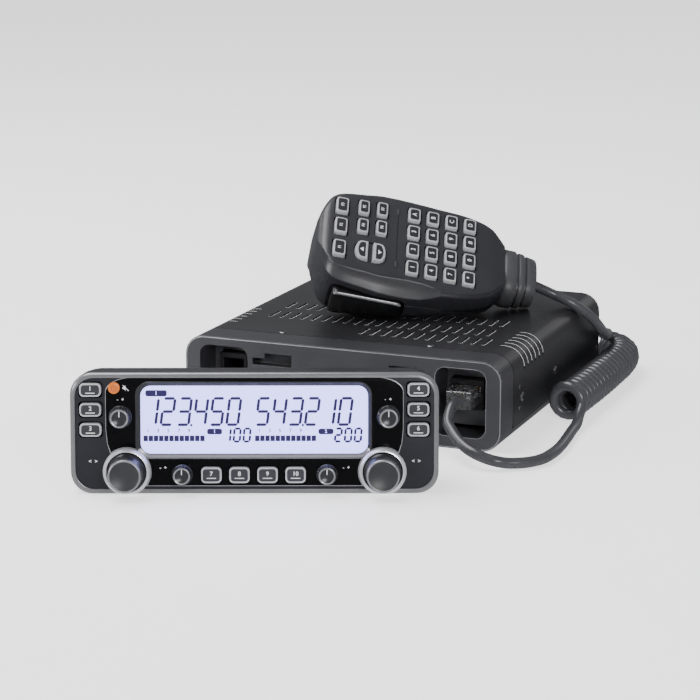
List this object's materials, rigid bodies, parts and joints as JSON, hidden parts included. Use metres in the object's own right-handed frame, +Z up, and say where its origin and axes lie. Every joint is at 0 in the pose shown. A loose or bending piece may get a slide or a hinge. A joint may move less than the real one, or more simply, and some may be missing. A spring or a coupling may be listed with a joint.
{
  "type": "mobile transceiver",
  "caption": "Mobile two-way radio: a flat box-shaped main unit with a detached control head and a keypad hand microphone on a curly cord",
  "frame": {"origin": "centre of the main unit's underside, on the surface it stands on", "axes": "+X to the viewer's right along the main unit's front, +Y from its front to its rear, +Z up"},
  "size_m": [0.1774, 0.3049, 0.0931],
  "materials": {
    "charcoal_paint": "satin",
    "panel_plastic": "satin",
    "head_plastic": "satin",
    "gloss_black": "gloss",
    "mic_plastic": "fine grain",
    "key_rubber": "satin",
    "black_rubber": "matte",
    "cord_jacket": "satin",
    "cast_aluminium": "as cast",
    "nickel_plate": "plated",
    "circuit_board": "solder mask",
    "black_nylon": "moulded",
    "clear_plastic": "clear",
    "lit_display": "lit",
    "orange_key": "gloss"
  },
  "bodies": {
    "main_unit": {"front_panel": "panel_plastic", "top_cover": "charcoal_paint", "bottom_cover": "charcoal_paint", "chassis": "cast_aluminium", "main_board": "circuit_board", "shield_can": "nickel_plate", "power_module": "black_nylon", "speaker": "black_nylon", "fan_frame": "black_nylon", "fan_guard": "nickel_plate", "antenna_socket": "nickel_plate", "data_socket": "black_nylon", "speaker_jack_a": "nickel_plate", "speaker_jack_b": "nickel_plate", "power_inlet": "black_nylon", "microphone_jack": "black_nylon", "head_jack": "black_nylon", "mic_plug": "clear_plastic", "plug_lead": "cord_jacket", "cord_coil": "cord_jacket", "mic_lead": "cord_jacket"},
    "fan": {"fan_rotor": "black_nylon"},
    "control_head": {"head_front_case": "head_plastic", "head_rear_case": "head_plastic", "gloss_panel": "gloss_black", "display_window": "lit_display", "lcd_module": "lit_display", "head_board": "circuit_board", "remote_jack": "black_nylon", "dial_encoder_left": "nickel_plate", "dial_encoder_right": "nickel_plate"},
    "hand_microphone": {"mic_front_shell": "mic_plastic", "mic_rear_shell": "mic_plastic", "mic_board": "circuit_board", "mic_capsule": "nickel_plate", "hanger_button": "nickel_plate", "cord_boot": "black_rubber"},
    "main_dial_left_body": {"main_dial_left": "gloss_black"},
    "volume_knob_left_body": {"volume_knob_left": "gloss_black"},
    "squelch_knob_left_body": {"squelch_knob_left": "gloss_black"},
    "main_dial_right_body": {"main_dial_right": "gloss_black"},
    "volume_knob_right_body": {"volume_knob_right": "gloss_black"},
    "squelch_knob_right_body": {"squelch_knob_right": "gloss_black"},
    "power_key_body": {"power_key": "orange_key"},
    "left_key_1_body": {"left_key_1": "key_rubber"},
    "left_key_2_body": {"left_key_2": "key_rubber"},
    "left_key_3_body": {"left_key_3": "key_rubber"},
    "right_key_1_body": {"right_key_1": "key_rubber"},
    "right_key_2_body": {"right_key_2": "key_rubber"},
    "right_key_3_body": {"right_key_3": "key_rubber"},
    "lower_key_1_body": {"lower_key_1": "key_rubber"},
    "lower_key_2_body": {"lower_key_2": "key_rubber"},
    "lower_key_3_body": {"lower_key_3": "key_rubber"},
    "lower_key_4_body": {"lower_key_4": "key_rubber"},
    "talk_bar_body": {"talk_bar": "black_rubber"},
    "up_key_body": {"up_key": "key_rubber"},
    "down_key_body": {"down_key": "key_rubber"},
    "function_key_mat_body": {"function_key_mat": "key_rubber"},
    "number_key_mat_body": {"number_key_mat": "key_rubber"}
  },
  "joints": [
    {"name": "control_head_lift", "type": "slide", "parent": "main_unit", "child": "control_head", "axis": [0, 0, 1], "range_m": [0, 0.1]},
    {"name": "microphone_lift", "type": "slide", "parent": "main_unit", "child": "hand_microphone", "axis": [0, 0, 1], "range_m": [0, 0.1]},
    {"name": "fan_spin", "type": "hinge", "parent": "main_unit", "child": "fan", "pos_m": [0, 0.066, 0.022], "axis": [0, 1, 0], "continuous": true},
    {"name": "main_dial_left_turn", "type": "hinge", "parent": "control_head", "child": "main_dial_left_body", "pos_m": [-0.04629, -0.19138, 0.00982], "axis": [0.3726, -0.9199, 0.1219], "continuous": true},
    {"name": "volume_knob_left_turn", "type": "hinge", "parent": "control_head", "child": "volume_knob_left_body", "pos_m": [-0.04945, -0.18969, 0.03225], "axis": [0.3726, -0.9199, 0.1219], "range_deg": [-140, 140]},
    {"name": "squelch_knob_left_turn", "type": "hinge", "parent": "control_head", "child": "squelch_knob_left_body", "pos_m": [-0.02529, -0.18302, 0.00873], "axis": [0.3726, -0.9199, 0.1219], "range_deg": [-140, 140]},
    {"name": "main_dial_right_turn", "type": "hinge", "parent": "control_head", "child": "main_dial_right_body", "pos_m": [0.05011, -0.15234, 0.00982], "axis": [0.3726, -0.9199, 0.1219], "continuous": true},
    {"name": "volume_knob_right_turn", "type": "hinge", "parent": "control_head", "child": "volume_knob_right_body", "pos_m": [0.05121, -0.14892, 0.03225], "axis": [0.3726, -0.9199, 0.1219], "range_deg": [-140, 140]},
    {"name": "squelch_knob_right_turn", "type": "hinge", "parent": "control_head", "child": "squelch_knob_right_body", "pos_m": [0.02921, -0.16095, 0.00873], "axis": [0.3726, -0.9199, 0.1219], "range_deg": [-140, 140]},
    {"name": "power_key_press", "type": "slide", "parent": "control_head", "child": "power_key_body", "axis": [-0.3726, 0.9199, -0.1219], "range_m": [0, 0.0006], "stiffness_N_per_m": 1200, "springref_m": -0.0004},
    {"name": "left_key_1_press", "type": "slide", "parent": "control_head", "child": "left_key_1_body", "axis": [-0.3726, 0.9199, -0.1219], "range_m": [0, 0.0006], "stiffness_N_per_m": 1200, "springref_m": -0.0004},
    {"name": "left_key_2_press", "type": "slide", "parent": "control_head", "child": "left_key_2_body", "axis": [-0.3726, 0.9199, -0.1219], "range_m": [0, 0.0006], "stiffness_N_per_m": 1200, "springref_m": -0.0004},
    {"name": "left_key_3_press", "type": "slide", "parent": "control_head", "child": "left_key_3_body", "axis": [-0.3726, 0.9199, -0.1219], "range_m": [0, 0.0006], "stiffness_N_per_m": 1200, "springref_m": -0.0004},
    {"name": "right_key_1_press", "type": "slide", "parent": "control_head", "child": "right_key_1_body", "axis": [-0.3726, 0.9199, -0.1219], "range_m": [0, 0.0006], "stiffness_N_per_m": 1200, "springref_m": -0.0004},
    {"name": "right_key_2_press", "type": "slide", "parent": "control_head", "child": "right_key_2_body", "axis": [-0.3726, 0.9199, -0.1219], "range_m": [0, 0.0006], "stiffness_N_per_m": 1200, "springref_m": -0.0004},
    {"name": "right_key_3_press", "type": "slide", "parent": "control_head", "child": "right_key_3_body", "axis": [-0.3726, 0.9199, -0.1219], "range_m": [0, 0.0006], "stiffness_N_per_m": 1200, "springref_m": -0.0004},
    {"name": "lower_key_1_press", "type": "slide", "parent": "control_head", "child": "lower_key_1_body", "axis": [-0.3726, 0.9199, -0.1219], "range_m": [0, 0.0006], "stiffness_N_per_m": 1200, "springref_m": -0.0004},
    {"name": "lower_key_2_press", "type": "slide", "parent": "control_head", "child": "lower_key_2_body", "axis": [-0.3726, 0.9199, -0.1219], "range_m": [0, 0.0006], "stiffness_N_per_m": 1200, "springref_m": -0.0004},
    {"name": "lower_key_3_press", "type": "slide", "parent": "control_head", "child": "lower_key_3_body", "axis": [-0.3726, 0.9199, -0.1219], "range_m": [0, 0.0006], "stiffness_N_per_m": 1200, "springref_m": -0.0004},
    {"name": "lower_key_4_press", "type": "slide", "parent": "control_head", "child": "lower_key_4_body", "axis": [-0.3726, 0.9199, -0.1219], "range_m": [0, 0.0006], "stiffness_N_per_m": 1200, "springref_m": -0.0004},
    {"name": "talk_bar_press", "type": "slide", "parent": "hand_microphone", "child": "talk_bar_body", "axis": [-0.2587, 0.7856, 0.5621], "range_m": [0, 0.0015], "stiffness_N_per_m": 900, "springref_m": -0.0012},
    {"name": "up_key_press", "type": "slide", "parent": "hand_microphone", "child": "up_key_body", "axis": [-0.411, 0.4371, -0.8], "range_m": [0, 0.0008], "stiffness_N_per_m": 1500, "springref_m": -0.0005},
    {"name": "down_key_press", "type": "slide", "parent": "hand_microphone", "child": "down_key_body", "axis": [-0.411, 0.4371, -0.8], "range_m": [0, 0.0008], "stiffness_N_per_m": 1500, "springref_m": -0.0005},
    {"name": "function_key_mat_press", "type": "slide", "parent": "hand_microphone", "child": "function_key_mat_body", "axis": [-0.411, 0.4371, -0.8], "range_m": [0, 0.0008], "stiffness_N_per_m": 1500, "springref_m": -0.0005},
    {"name": "number_key_mat_press", "type": "slide", "parent": "hand_microphone", "child": "number_key_mat_body", "axis": [-0.411, 0.4371, -0.8], "range_m": [0, 0.0008], "stiffness_N_per_m": 1500, "springref_m": -0.0005}
  ]
}
